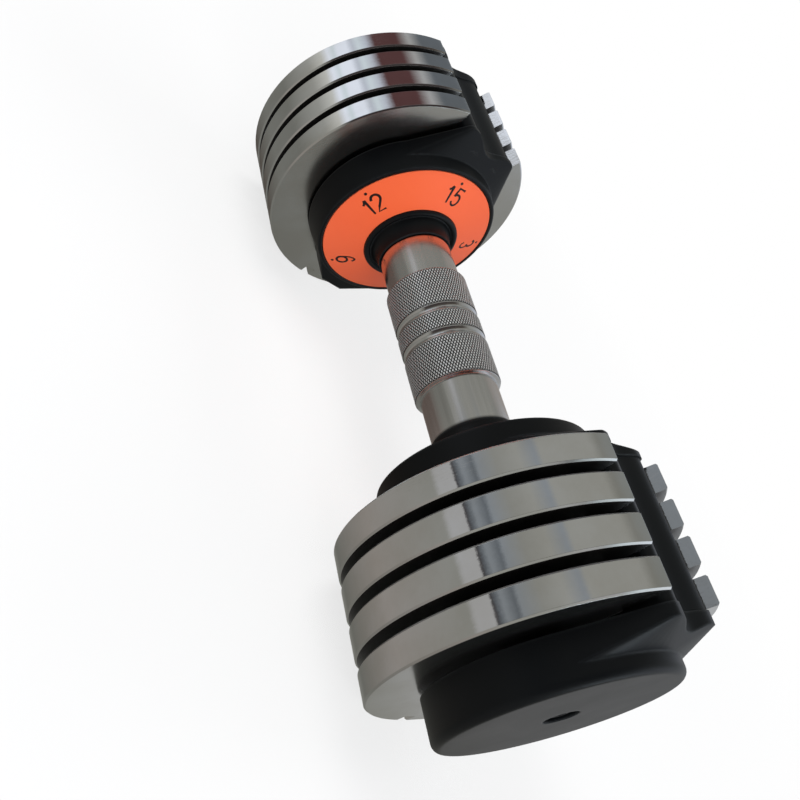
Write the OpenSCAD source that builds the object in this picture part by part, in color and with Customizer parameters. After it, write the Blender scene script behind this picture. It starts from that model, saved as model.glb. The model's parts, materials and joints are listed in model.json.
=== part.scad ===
// Adjustable dumbbell with a turning grip.
// X runs along the grip, Z is up, and the open ends of the plate slots face up.
// The dumbbell stands on the rims of its plates, each side of the small rim notch.

/* [Weight plates] */
// Diameter of each round weight plate
plate_d = 120; // [116:0.5:128]
// Thickness of each plate
plate_t = 10; // [9:0.25:12]
// Free gap between two plates
plate_gap = 3.6; // [3.2:0.1:5]
// Width of the open slot in each plate
slot_w = 41.4; // [39.8:0.1:42.4]
// Height of the flat horn tips above the axis
tip_z = 55.9; // [53:0.1:57]
// Width of the lead-in at each side of the slot mouth
lead_in_w = 1.4; // [0.3:0.1:1.8]
// Height of the lead-in at the slot mouth
lead_in_h = 6; // [0.5:0.1:7]
// Width of the docking notch in the bottom of the rim
notch_w = 5.6; // [4:0.2:12]
// Depth of the docking notch
notch_depth = 4.5; // [2:0.25:6]
// Broken edge round both rims of a plate
rim_break = 0.6; // [0.2:0.1:1.5]
// How far each catch lug stands in from the slot wall
lug_depth = 2.3; // [1:0.1:2.6]
// Height of the underside of the catch lugs above the axis
lug_z = 4; // [3.7:0.1:6]
// Height of a catch lug
lug_h = 4; // [3:0.5:6]

/* [Grip] */
// Bare length of the grip between the two collars
grip_len = 91.8; // [86:0.2:110]
// Outer diameter of the plain ends of the grip tube
tube_d = 31.6; // [30:0.1:33]
// Outer diameter of the knurled middle
knurl_d = 34.9; // [33.6:0.1:37]
// Length of the knurled middle
knurl_len = 52; // [40:0.5:60]
// Slope length at each end of the knurled middle
knurl_slope = 0.3; // [0.2:0.1:1.5]
// Bore of the grip tube
tube_bore = 25.6; // [24:0.1:27]
// Distance from the middle to the centre of each plain groove
groove_x = 6; // [4:0.1:10]
// Width of each plain groove
groove_w = 3; // [1:0.1:4]
// Depth of each plain groove
groove_depth = 0.7; // [0.3:0.1:1]
// How far the tube runs into each collar
tube_in = 6; // [5.6:0.1:8]

/* [Collar and dial] */
// Length of the flared collar in front of the dial ring
collar_len = 8.9; // [7.5:0.1:12]
// Thickness of the collar lip where it meets the tube
collar_lip = 0.7; // [0.4:0.1:1.2]
// Radius of the collar where it meets the dial ring
collar_r = 21.6; // [20:0.1:24]
// How fast the collar flares
collar_flare = 2.2; // [1.5:0.1:4]
// Radius of the bead round the wide end of the collar
bead_r = 1.4; // [0.8:0.1:1.8]
// Outer radius of the dial ring
ring_r = 38.9; // [35:0.1:42]
// How far the dial ring slopes back from its inner to its outer edge
ring_rise = 6; // [4:0.1:8]
// Thickness of the dial ring
ring_t = 1.6; // [1.2:0.1:2.4]
// Thickness of the backing flange behind the dial ring at its rim
flange_t = 1.5; // [1:0.1:2]
// Inner radius of the flat back face of the backing flange
flange_flat_r = 24; // [20:0.5:26]
// Depth of the lock pockets in the back of the flange
pocket_depth = 0.9; // [0.4:0.1:1.2]
// Running gap between the dial ring and the housing rim
dial_gap = 0.4; // [0.3:0.05:1]

/* [Inner housing] */
// Depth of the inner housing along the grip
inner_depth = 15.2; // [14.4:0.1:20]
// Radius of the inner housing at its front rim
inner_r_front = 41.2; // [40.8:0.1:46]
// Radius of the inner housing at its back
inner_r_back = 42.8; // [42:0.1:47]
// Rounding of the front rim
rim_round = 0.8; // [0.3:0.1:1]
// Depth of the dial recess
recess_depth = 4.4; // [4:0.1:5]
// Distance from the back to where the shoulder starts to slope
inner_ledge = 2.4; // [1.5:0.1:3.2]
// Distance from the back to the foot of the shoulder
inner_foot = 8.4; // [7.8:0.1:11]
// Half width of the flat under the keel
keel_hw = 6.5; // [5.5:0.1:8]
// Drop of the keel below the axis
keel_z = 46.3; // [45:0.1:49]
// Gap between the housings and the plates beside them
head_gap = 1.6; // [1:0.1:3]

/* [Outer housing] */
// Depth of the outer housing
outer_depth = 15.6; // [14.6:0.1:20]
// Radius of the outer housing
outer_r = 42; // [40:0.1:46]
// Rounding of the outer edge
outer_round = 2.7; // [1:0.1:4]
// Distance from the plates' side to where the shoulder starts to slope
outer_ledge = 4.4; // [3.6:0.1:5.4]
// Distance from the plates' side to the foot of the shoulder
outer_foot = 9.7; // [9:0.1:11.5]
// Diameter of the screw recess in the end face
recess_d = 12.4; // [11.5:0.1:14]
// Depth of the screw recess in the end face
screw_recess = 4.2; // [3.6:0.1:5]

/* [Beam] */
// Outer width of the beam cover
beam_w = 35; // [33:0.1:36]
// Height of the beam's two ridges above the axis
beam_top = 52.8; // [52:0.1:54]
// Depth of the hollow between the ridges
beam_dip = 4.5; // [3:0.1:4.8]
// Rounding of the beam's long top edges
beam_round = 4; // [1:0.1:6]
// Height of the lower edges of the beam cover above the axis
beam_low = 38; // [36:0.1:39.5]
// How much wider the housing shoulder is than the beam, each side
shoulder_extra = 1.3; // [0.4:0.1:1.8]
// How much higher the housing shoulder is than the beam
shoulder_up = 0.5; // [0.2:0.1:1]
// Rounding of the shoulder's corners
shoulder_round = 4; // [1.5:0.1:5]
// Width of the steel bar inside the beam
bar_w = 26; // [24:0.1:28]
// Thickness of the steel bar inside the beam
bar_t = 6.5; // [6:0.1:7]
// Height of the underside of the steel bar above the axis
bar_z = 39.8; // [39:0.1:40.5]

/* [Core] */
// Diameter of the fixed axle
axle_d = 10; // [9:0.1:11]
// Width across the flats at the ends of the axle
axle_flat = 8; // [7:0.1:8.8]
// Diameter of the selector sleeve's journal
sleeve_d = 16; // [15:0.1:17]
// Width across the flats where the cam discs sit
sleeve_flat = 14; // [13:0.1:14.6]
// Length of the sleeve's plug inside the grip tube
plug_len = 15; // [10:0.5:20]
// Outer diameter of the bearing bush
bush_d = 22; // [20:0.1:24]
// Flange diameter of the bearing bush
bush_flange_d = 26; // [24:0.1:30]
// Thickness of the bearing bush flange
bush_flange_t = 1.5; // [1:0.1:2]
// Thickness of a cam disc
cam_t = 8; // [7:0.1:8.6]
// Radius of a cam disc between its lobes
cam_r = 12.6; // [11:0.1:14]
// Angle that one lobe covers
lobe_angle = 22; // [16:0.5:24]
// Clearance that keeps each lobe just out of its catch lug
catch_gap = 0.35; // [0.3:0.05:0.6]
// Radius of the divider discs in the plate gaps
divider_r = 24; // [22:0.1:26]
// Thickness of a divider disc
divider_t = 2.4; // [1.8:0.1:2.6]
// Thickness of the steel end plates
steel_t = 3; // [2.5:0.1:3.4]
// Radius of the round part of the steel end plates
steel_r = 28; // [24:0.1:32]

/* [Fasteners and lock] */
// Shank diameter of the end screws
screw_d = 6; // [5:0.1:6.4]
// Head diameter of the end screws
screw_head_d = 10.5; // [9:0.1:11]
// Head height of the end screws
screw_head_h = 3.3; // [2.5:0.1:3.5]
// Length of the end screws below the head
screw_len = 16; // [10:0.5:24]
// Shank diameter of the beam bolts
bolt_d = 4; // [3:0.1:5]
// Head diameter of the beam bolts
bolt_head_d = 6.4; // [6:0.1:7]
// Head height of the beam bolts
bolt_head_h = 2.2; // [2:0.1:2.4]
// Length of the beam bolts below the head
bolt_len = 14; // [10:0.5:18]
// Distance of each beam bolt from the middle of the beam
bolt_y = 8; // [7:0.1:9]
// Diameter of the drive pins
drive_pin_d = 4; // [3:0.1:4.5]
// Diameter of the safety lock pin
lock_d = 5; // [4.5:0.1:5.4]
// Diameter of the lock pin's button
button_d = 7.6; // [7:0.1:8.4]
// How far the button stands out below the keel
button_out = 2; // [1.5:0.1:3]
// Travel of the lock pin when it is pressed up
lock_travel = 2.5; // [2:0.1:2.5]
// Length of the button below its shoulder
button_len = 4.2; // [4:0.1:5]
// Height of the lock tooth's top above the pin's lower end
lock_len = 15; // [14:0.1:16]
// Running clearance of turning and sliding round fits, on the radius
run_clear = 0.05; // [0.03:0.01:0.08]
// Clearance of seated fits, on each side
seat_clear = 0.05; // [0.02:0.01:0.1]

/* [Hidden] */
$fn = 96;
eps = 0.01;

// places along X, from the middle outwards
plates_per_side = 4;
settings = 5;
collar_x = grip_len / 2;
tube_end = collar_x + tube_in;
ring_x = collar_x + collar_len;
front_x = ring_x + ring_rise;
back_x = front_x + inner_depth;
plate_x = back_x + head_gap;
pitch = plate_t + plate_gap;
last_x = plate_x + plates_per_side * plate_t + (plates_per_side - 1) * plate_gap;
outer_x = last_x + head_gap;
end_x = outer_x + outer_depth;
recess_x = front_x + recess_depth;
flange_x = front_x + ring_t + flange_t;
// end play of the turning core against the bushes and the outer plates
thrust_play = 0.3;
sleeve_end = outer_x - thrust_play;
axle_end = end_x - screw_recess;

// heights
plate_r = plate_d / 2;
axis_z = sqrt(plate_r * plate_r - notch_w * notch_w / 4);
slot_hw = slot_w / 2;
lug_hw = slot_hw - lug_depth;
lobe_r = lug_hw - catch_gap;
shoulder_hw = beam_w / 2 + shoulder_extra;
shoulder_top = beam_top + shoulder_up;
crest_y = beam_w / 2 - beam_round;
bolt_z = bar_z + bar_t / 2;

// lock pin
lock_x = flange_x + 0.3 + 2 + lock_d / 2;
lock_bottom = -keel_z - button_out;
spring_r = 3.2;
spring_wire = 0.7;
spring_turns = 4;
// length of the spring at rest
spring_len = spring_turns * spring_wire + lock_travel + 1;

black = [0.07, 0.07, 0.075];
orange = [0.93, 0.32, 0.13];
chrome = [0.78, 0.79, 0.80];
steel = [0.62, 0.63, 0.65];
dark_steel = [0.30, 0.31, 0.33];
bronze = [0.66, 0.50, 0.28];

// Point where a line from p touches a circle about the origin
function touch(p, r, s) =
    let (a = atan2(p[1], p[0]), b = acos(r / norm(p))) [r * cos(a + s * b), r * sin(a + s * b)];
function arc(r, a0, a1, n) = [for (i = [0:n]) let (a = a0 + (a1 - a0) * i / n) [r * cos(a), r * sin(a)]];
function flip(pts) = [for (i = [len(pts) - 1:-1:0]) [-pts[i][0], pts[i][1]]];

// Lifts a piece drawn round the axis to its height above the ground
module on_axis() translate([0, 0, axis_z]) children();

// Turns a piece drawn for the right end into the left one
module side(s) on_axis() mirror([s < 0 ? 1 : 0, 0, 0]) children();

// Extrudes a Y-Z outline along X
module along_x(x, l) translate([x, 0, 0]) rotate([90, 0, 90]) linear_extrude(l) children();

// Turns a profile of [radius, x] points about X
module turned() rotate([0, 90, 0]) rotate_extrude() children();

module rod_x(x, l, r) translate([x, 0, 0]) rotate([0, 90, 0]) cylinder(h = l, r = r);

// ---- weight plates ----

// Slot with lead-in at its mouth and the two catch lugs
module slot_outline() {
    difference() {
        union() {
            circle(slot_hw);
            translate([-slot_hw, 0]) square([slot_w, plate_r + 1]);
            polygon([[-slot_hw, tip_z - lead_in_h], [slot_hw, tip_z - lead_in_h],
                [slot_hw + lead_in_w, tip_z], [-slot_hw - lead_in_w, tip_z]]);
            translate([-plate_r, tip_z]) square([plate_d, plate_r]);
        }
        for (m = [0, 1]) mirror([m, 0])
            polygon([[slot_hw + 1, lug_z], [lug_hw, lug_z], [lug_hw, lug_z + lug_h],
                [slot_hw, lug_z + lug_h + lug_depth], [slot_hw + 1, lug_z + lug_h + lug_depth]]);
    }
}

module plate(n, s) {
    x = plate_x + (n - 1) * pitch;
    color(chrome) side(s) difference() {
        turned() polygon([[0, x], [plate_r - rim_break, x], [plate_r, x + rim_break],
            [plate_r, x + plate_t - rim_break], [plate_r - rim_break, x + plate_t], [0, x + plate_t]]);
        along_x(x - 1, plate_t + 2) slot_outline();
        translate([x - 1, -notch_w / 2, -plate_r - 1]) cube([plate_t + 2, notch_w, notch_depth + 1]);
    }
}

// ---- grip ----

module grip_tube() {
    h = knurl_len / 2;
    rk = knurl_d / 2;
    rt = tube_d / 2;
    groove = [for (i = [0:8]) [rk - groove_depth * sin(22.5 * i), groove_x + groove_w * (i / 8 - 0.5)]];
    half = concat(groove, [[rk, h - knurl_slope], [rt, h], [rt, tube_end]]);
    color(chrome) on_axis() difference() {
        turned() polygon(concat([[tube_bore / 2, tube_end], [tube_bore / 2, -tube_end]],
            [for (i = [len(half) - 1:-1:0]) [half[i][0], -half[i][1]]], half));
        for (s = [-1, 1]) translate([s * pin_x(), 0, -plate_r]) cylinder(h = plate_d, d = drive_pin_d);
    }
}

function pin_x() = collar_x + tube_in / 2;

// Short radial pins that key each sleeve to the tube
module drive_pins() {
    r0 = axle_d / 2 + 1;
    color(steel) on_axis() for (s = [-1, 1], m = [0, 1])
        translate([s * pin_x(), 0, 0]) mirror([0, 0, m]) translate([0, 0, r0])
            cylinder(h = tube_d / 2 - 0.2 - r0, d = drive_pin_d - 2 * seat_clear);
}

// ---- collar and dial ----

// Flare from the lip on the tube to the foot of the bead, then round the bead
function bell(n) = let (r0 = tube_d / 2 + collar_lip, r1 = collar_r - 2 * bead_r, x1 = ring_x - 0.3 * bead_r)
    concat([for (i = [0:n - 1]) let (t = i / n) [r0 + (r1 - r0) * pow(t, collar_flare),
        collar_x + (x1 - collar_x) * t]],
    [for (i = [0:8]) [r1 + bead_r * (1 - cos(22.5 * i)), x1 - bead_r * sin(22.5 * i)]]);

module collar(s) {
    ri = tube_d / 2 + seat_clear;
    hub_x = tube_end + 3;
    rim_r = ring_r - 0.6;
    color(black) side(s) difference() {
        turned() polygon(concat(bell(10), [[collar_r, ring_x + ring_t],
            [collar_r + seat_clear, ring_x + ring_t], [rim_r, ring_back(rim_r)],
            [rim_r, flange_x], [flange_flat_r, flange_x], [ri + 2, hub_x], [ri, hub_x], [ri, collar_x]]));
        // round groove that the lock tooth runs in while the pin is pressed
        turned() translate([tooth_r() - lock_travel - 2.4, flange_x - pocket_depth]) square([4.8, 2]);
        // one pocket for each setting
        for (i = [0:settings - 1]) rotate([i * 360 / settings, 0, 0])
            translate([flange_x - pocket_depth, -2.4, -tooth_r() - 2.4]) cube([2, 4.8, 6]);
    }
}

function tooth_r() = -(lock_bottom + lock_len - 2);

// Place of the dial ring's back face at radius r
function ring_back(r) = ring_x + ring_t
    + ring_rise * (r - collar_r - seat_clear) / (ring_r - collar_r - seat_clear);

module dial_ring(s) {
    ri = collar_r + seat_clear;
    color(orange) side(s) turned() polygon([[ri, ring_x], [ring_r, front_x],
        [ring_r, front_x + ring_t], [ri, ring_x + ring_t]]);
}

// ---- core that turns with the grip ----

// Round journal with two flats, as seen along X
module keyed(d, flat) intersection() {
    circle(d = d);
    square([d + 1, flat], center = true);
}

module selector_sleeve(s) {
    plug_x = tube_end - plug_len;
    lip_x = tube_end + 3;
    color(steel) side(s) difference() {
        union() {
            rod_x(plug_x, plug_len, tube_bore / 2 - seat_clear);
            rod_x(tube_end, lip_x - tube_end, tube_d / 2 - seat_clear);
            rod_x(lip_x, bush_x() - thrust_play - lip_x, bush_d / 2);
            rod_x(lip_x, plate_x - 0.8 - lip_x, sleeve_d / 2);
            along_x(plate_x - 0.8, sleeve_end - plate_x + 0.8) keyed(sleeve_d, sleeve_flat);
        }
        rod_x(plug_x - 1, sleeve_end - plug_x + 2, axle_d / 2 + run_clear);
        translate([pin_x(), 0, -plate_r]) cylinder(h = plate_d, d = drive_pin_d);
    }
}

// Bore that fits over a journal with flats
module keyed_bore(d, flat) keyed(d + 2 * seat_clear, flat + 2 * seat_clear);

// Lobes on both sides for each setting at which the plate is carried
module cam_disc(n, s) {
    x = plate_x + (n - 1) * pitch + (plate_t - cam_t) / 2;
    color(dark_steel) side(s) difference() {
        along_x(x, cam_t) union() {
            circle(cam_r);
            for (i = [0:settings - 1 - n], m = [0, 180])
                polygon(concat([[0, 0]], arc(lobe_r, m - s * i * 360 / settings - lobe_angle / 2,
                    m - s * i * 360 / settings + lobe_angle / 2, 6)));
        }
        along_x(x - 1, cam_t + 2) keyed_bore(sleeve_d, sleeve_flat);
    }
}

module divider(n, s) {
    x = plate_x + n * plate_t + (n - 0.5) * plate_gap;
    hub = (pitch - cam_t) / 2;
    color(black) side(s) difference() {
        union() {
            rod_x(x - divider_t / 2, divider_t, divider_r);
            rod_x(x - hub, 2 * hub, cam_r - 1);
        }
        along_x(x - hub - 1, 2 * hub + 2) keyed_bore(sleeve_d, sleeve_flat);
    }
}

// Keyed rings that take up the ends of each stack of discs
module end_spacers() {
    first = plate_x + (plate_t - cam_t) / 2;
    last = last_x - (plate_t - cam_t) / 2;
    color(steel) for (s = [-1, 1], e = [[back_x + thrust_play, first], [last, sleeve_end]])
        side(s) difference() {
            rod_x(e[0], e[1] - e[0], cam_r - 1);
            along_x(e[0] - 1, e[1] - e[0] + 2) keyed_bore(sleeve_d, e[0] < plate_x ? sleeve_d : sleeve_flat);
        }
}

// ---- fixed frame ----

module axle_rod() {
    flat_x = outer_x + 0.1;
    color(steel) on_axis() difference() {
        rod_x(-axle_end, 2 * axle_end, axle_d / 2);
        for (s = [-1, 1], m = [-1, 1])
            translate([s > 0 ? flat_x : -axle_end - 1, m > 0 ? axle_flat / 2 : -axle_flat / 2 - 5, -axle_d])
                cube([axle_end - flat_x + 1, 5, 2 * axle_d]);
        for (s = [0, 1]) mirror([s, 0, 0])
            rod_x(axle_end - screw_len - 2, screw_len + 3, screw_d / 2 + seat_clear);
    }
}

module end_screws() {
    color(steel) for (s = [-1, 1]) side(s) difference() {
        union() {
            rod_x(axle_end - screw_len, screw_len + 0.5, screw_d / 2);
            turned() polygon([[0, axle_end], [screw_head_d / 2, axle_end], [screw_head_d / 2, axle_end + 1],
                [screw_head_d / 2 - 0.5, axle_end + 2], [screw_head_d / 2 - 1.8, axle_end + screw_head_h],
                [0, axle_end + screw_head_h]]);
        }
        translate([axle_end + screw_head_h - 2, 0, 0]) rotate([0, 90, 0]) cylinder(h = 3, d = 4.6, $fn = 6);
    }
}

module beam_bolts() {
    for (s = [-1, 1], e = [0, 1], y = [-bolt_y, bolt_y]) {
        xa = e == 0 ? back_x - steel_t : outer_x + steel_t;
        d = e == 0 ? 1 : -1;
        color(steel) side(s) translate([xa, y, bolt_z]) mirror([e, 0, 0]) difference() {
            union() {
                rod_x(-bolt_head_h, bolt_head_h, bolt_head_d / 2);
                rod_x(-eps, bolt_len, bolt_d / 2);
            }
            translate([-bolt_head_h - 1, 0, 0]) rotate([0, 90, 0]) cylinder(h = 2.6, d = 3.4, $fn = 6);
        }
    }
}

// Right half of the line that leads from a round housing of radius r up round a corner of the beam
function shoulder_half(r) =
    let (c = [shoulder_hw - shoulder_round, shoulder_top - shoulder_round],
        a = atan2(c[1], c[0]) - acos((r - shoulder_round) / norm(c)))
    concat([[r * cos(a), r * sin(a)]], [for (i = [0:5]) let (b = a + (90 - a) * i / 5)
        c + shoulder_round * [cos(b), sin(b)]]);

module shoulder_outline(r) polygon(concat([[0, 0]], shoulder_half(r), flip(shoulder_half(r))));

// Hollow that runs along the beam's top and both shoulders, raised by up
module hollow_outline(up) polygon(concat([[crest_y, shoulder_top + 1], [-crest_y, shoulder_top + 1]],
    [for (i = [0:24]) let (t = i / 12 - 1, drop = beam_dip * (1 + cos(180 * t)) / 2)
        [crest_y * t, beam_top + up - drop]]));

module keel_outline(r) {
    p = [keel_hw, -keel_z];
    t = touch(p, r, 1);
    polygon(concat([[0, 0]], [t, p], flip([t, p])));
}

// Steel plate that ties the beam bar to the core
module steel_outline(c) {
    circle(steel_r + c);
    translate([-bar_w / 2 - c, 0]) square([bar_w + 2 * c, bar_z + bar_t + c]);
}

// Radius of the inner housing at a place along its slightly tapered wall
function inner_r(x) = inner_r_front
    + (inner_r_back - inner_r_front) * (x - front_x - rim_round) / (inner_depth - rim_round);

// Loft from the ledge between its seat x0 and its edge x1 down to the round housing at x2
module shoulder(x0, x1, x2, r, foot_r) difference() {
    hull() {
        along_x(min(x0, x1), abs(x1 - x0)) shoulder_outline(r);
        along_x(x2, 0.1) polygon(arc(foot_r, 20, 160, 24));
    }
    along_x(min(x0, x2) - 1, abs(x2 - x0) + 2) hollow_outline(shoulder_up);
}

module inner_housing(s) {
    color(black) side(s) difference() {
        union() {
            turned() polygon([[0, front_x], [inner_r_front - rim_round, front_x],
                [inner_r_front - 0.3 * rim_round, front_x + 0.3 * rim_round],
                [inner_r_front, front_x + rim_round], [inner_r_back, back_x], [0, back_x]]);
            along_x(front_x + rim_round, inner_depth - rim_round) keel_outline(inner_r_front - 0.4);
            shoulder(back_x, back_x - inner_ledge, back_x - inner_foot,
                inner_r(back_x - inner_ledge) - 0.4, inner_r(back_x - inner_foot) - 0.3);
        }
        // dial recess
        rod_x(front_x - 1, recess_depth + 1, ring_r + dial_gap);
        // seat of the bearing bush and room for its flange
        rod_x(front_x, inner_depth + 1, bush_d / 2 + seat_clear);
        rod_x(front_x, bush_x() + bush_flange_t - front_x, bush_flange_d / 2 + 0.3);
        // pocket for the steel plate
        along_x(back_x - steel_t - seat_clear, steel_t + 1) steel_outline(seat_clear);
        // room for the bolt heads
        for (y = [-bolt_y, bolt_y]) translate([back_x - steel_t - bolt_head_h - 0.4, y, bolt_z])
            rotate([0, 90, 0]) cylinder(h = bolt_head_h + 1, d = bolt_head_d + 0.8);
        // lock pin bore, its spring chamber and the tooth's window
        translate([lock_x, 0, -keel_z - 1]) cylinder(h = lock_cut(), d = button_d + 2 * run_clear);
        translate([lock_x, 0, -keel_z]) cylinder(h = keel_z - tooth_r() + 2 + lock_travel + 0.5,
            d = lock_d + 2 * run_clear);
        translate([recess_x - 1, -2.3, -tooth_r() - 2.3])
            cube([lock_x - recess_x + 1, 4.6, 4.6 + lock_travel]);
    }
}

function bush_x() = recess_x - 0.7;
// depth of the wide part of the lock bore, measured from 1 mm below the keel
function lock_cut() = 1 + button_len - button_out + spring_len;

module inner_plate(s) {
    color(dark_steel) side(s) difference() {
        along_x(back_x - steel_t, steel_t) steel_outline(0);
        rod_x(back_x - steel_t - 1, steel_t + 2, bush_d / 2 + seat_clear);
        for (y = [-bolt_y, bolt_y]) translate([0, y, bolt_z])
            rod_x(back_x - steel_t - 1, steel_t + 2, bolt_d / 2 + seat_clear);
    }
}

module bearing_bush(s) {
    x0 = bush_x();
    color(bronze) side(s) difference() {
        union() {
            rod_x(x0, back_x - x0, bush_d / 2);
            rod_x(x0, bush_flange_t, bush_flange_d / 2);
        }
        rod_x(x0 - 1, back_x - x0 + 2, sleeve_d / 2 + run_clear);
    }
}

module beam_section() {
    w = beam_w / 2;
    difference() {
        union() {
            translate([-w, beam_low]) square([beam_w, beam_top - beam_low - beam_round]);
            translate([-crest_y, beam_low]) square([2 * crest_y, beam_top - beam_low]);
            for (m = [-1, 1]) translate([m * crest_y, beam_top - beam_round]) circle(beam_round);
        }
        hollow_outline(0);
        // room for the steel bar
        translate([-bar_w / 2 - seat_clear, beam_low - 1])
            square([bar_w + 2 * seat_clear, bar_z + bar_t + seat_clear - beam_low + 1]);
    }
}

module beam_cover(s) color(black) side(s) along_x(back_x, outer_x - back_x) beam_section();

module beam_bar(s) {
    color(dark_steel) side(s) difference() {
        translate([back_x, -bar_w / 2, bar_z]) cube([outer_x - back_x, bar_w, bar_t]);
        for (e = [0, 1], y = [-bolt_y, bolt_y]) translate([0, y, bolt_z])
            rod_x(e == 0 ? back_x - 1 : outer_x - bolt_len, bolt_len + 1, bolt_d / 2 + seat_clear);
    }
}

module outer_plate(s) {
    color(dark_steel) side(s) difference() {
        along_x(outer_x, steel_t) steel_outline(0);
        along_x(outer_x - 1, steel_t + 2) rotate(90) keyed_bore(axle_d, axle_flat);
        for (y = [-bolt_y, bolt_y]) translate([0, y, bolt_z])
            rod_x(outer_x - 1, steel_t + 2, bolt_d / 2 + seat_clear);
    }
}

module outer_housing(s) {
    n = 8;
    color(black) side(s) difference() {
        union() {
            turned() polygon(concat([[0, outer_x], [outer_r, outer_x]],
                [for (i = [0:n]) let (a = 90 * i / n)
                    [outer_r - outer_round * (1 - cos(a)), end_x - outer_round * (1 - sin(a))]],
                [[0, end_x]]));
            shoulder(outer_x, outer_x + outer_ledge, outer_x + outer_foot, outer_r - 0.4, outer_r - 0.3);
        }
        along_x(outer_x - 1, steel_t + 1 + seat_clear) steel_outline(seat_clear);
        for (y = [-bolt_y, bolt_y]) translate([outer_x + steel_t - 1, y, bolt_z])
            rotate([0, 90, 0]) cylinder(h = bolt_head_h + 1.4, d = bolt_head_d + 0.8);
        // axle end, end screw and its recess
        rod_x(outer_x - 1, axle_end - outer_x + 1, axle_d / 2 + seat_clear);
        rod_x(axle_end - eps, screw_recess + 1, recess_d / 2);
    }
}

// ---- safety lock ----

module lock_pin(s) {
    z0 = lock_bottom;
    color(steel) side(s) union() {
        translate([lock_x, 0, z0]) cylinder(h = button_len, d = button_d);
        translate([lock_x, 0, z0 + button_len - eps]) cylinder(h = lock_len - button_len, d = lock_d);
        translate([flange_x + 0.3, -2, z0 + lock_len - 4]) cube([lock_x - flange_x - 0.3, 4, 4]);
    }
}

// Coil spring between the shoulder of the button and the roof of its chamber
module lock_spring(s) {
    z0 = lock_bottom + button_len + spring_wire / 2 + 0.02;
    h = spring_len - spring_wire - 0.04;
    n = spring_turns * 16;
    k = 6;
    pts = [for (i = [0:n], j = [0:k - 1])
        let (a = 360 * spring_turns * i / n, r = spring_r + spring_wire / 2 * cos(360 * j / k))
            [r * cos(a), r * sin(a), z0 + h * i / n + spring_wire / 2 * sin(360 * j / k)]];
    sides = [for (i = [0:n - 1], j = [0:k - 1])
        let (m = (j + 1) % k) [i * k + j, i * k + m, (i + 1) * k + m, (i + 1) * k + j]];
    color(steel) side(s) translate([lock_x, 0, 0]) polyhedron(points = pts,
        faces = concat([[for (j = [k - 1:-1:0]) j]], sides, [[for (j = [0:k - 1]) n * k + j]]));
}

axle_rod();
end_screws();
beam_bolts();
inner_housing(-1);  // inner_housing_left
inner_housing(1);  // inner_housing_right
inner_plate(-1);  // inner_plate_left
inner_plate(1);  // inner_plate_right
bearing_bush(-1);  // bearing_bush_left
bearing_bush(1);  // bearing_bush_right
beam_cover(-1);  // beam_cover_left
beam_cover(1);  // beam_cover_right
beam_bar(-1);  // beam_bar_left
beam_bar(1);  // beam_bar_right
outer_plate(-1);  // outer_plate_left
outer_plate(1);  // outer_plate_right
outer_housing(-1);  // outer_housing_left
outer_housing(1);  // outer_housing_right
grip_tube();
drive_pins();
collar(-1);  // collar_left
collar(1);  // collar_right
dial_ring(-1);  // dial_ring_left
dial_ring(1);  // dial_ring_right
selector_sleeve(-1);  // selector_sleeve_left
selector_sleeve(1);  // selector_sleeve_right
cam_disc(1, -1);  // cam_disc_left_1
cam_disc(2, -1);  // cam_disc_left_2
cam_disc(3, -1);  // cam_disc_left_3
cam_disc(4, -1);  // cam_disc_left_4
cam_disc(1, 1);  // cam_disc_right_1
cam_disc(2, 1);  // cam_disc_right_2
cam_disc(3, 1);  // cam_disc_right_3
cam_disc(4, 1);  // cam_disc_right_4
divider(1, -1);  // divider_left_1
divider(2, -1);  // divider_left_2
divider(3, -1);  // divider_left_3
divider(1, 1);  // divider_right_1
divider(2, 1);  // divider_right_2
divider(3, 1);  // divider_right_3
end_spacers();
plate(1, -1);  // plate_left_1
plate(2, -1);  // plate_left_2
plate(3, -1);  // plate_left_3
plate(4, -1);  // plate_left_4
plate(1, 1);  // plate_right_1
plate(2, 1);  // plate_right_2
plate(3, 1);  // plate_right_3
plate(4, 1);  // plate_right_4
lock_pin(-1);  // lock_pin_left
lock_pin(1);  // lock_pin_right
lock_spring(-1);  // lock_spring_left
lock_spring(1);  // lock_spring_right
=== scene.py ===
import bpy
import json
import math
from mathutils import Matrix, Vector

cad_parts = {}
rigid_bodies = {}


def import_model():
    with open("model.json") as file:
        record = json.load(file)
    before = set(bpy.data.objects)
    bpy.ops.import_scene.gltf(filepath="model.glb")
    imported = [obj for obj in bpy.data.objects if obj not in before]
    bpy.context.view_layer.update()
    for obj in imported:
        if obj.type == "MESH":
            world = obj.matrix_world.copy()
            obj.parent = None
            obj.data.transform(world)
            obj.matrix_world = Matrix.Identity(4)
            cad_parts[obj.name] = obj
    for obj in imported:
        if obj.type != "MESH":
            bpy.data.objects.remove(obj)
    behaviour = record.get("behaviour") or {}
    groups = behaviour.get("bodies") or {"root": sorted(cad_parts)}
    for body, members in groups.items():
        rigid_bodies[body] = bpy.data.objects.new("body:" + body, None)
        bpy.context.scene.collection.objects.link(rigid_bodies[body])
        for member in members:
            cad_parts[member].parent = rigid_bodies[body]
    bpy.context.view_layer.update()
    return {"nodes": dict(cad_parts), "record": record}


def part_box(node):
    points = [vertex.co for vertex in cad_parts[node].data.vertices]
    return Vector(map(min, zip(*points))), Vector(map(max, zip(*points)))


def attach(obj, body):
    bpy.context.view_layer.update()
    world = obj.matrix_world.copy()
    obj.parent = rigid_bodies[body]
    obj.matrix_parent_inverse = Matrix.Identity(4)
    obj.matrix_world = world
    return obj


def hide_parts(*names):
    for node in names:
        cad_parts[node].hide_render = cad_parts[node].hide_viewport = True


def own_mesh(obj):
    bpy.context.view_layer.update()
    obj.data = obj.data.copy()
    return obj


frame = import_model()
nodes = frame["nodes"]
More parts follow.
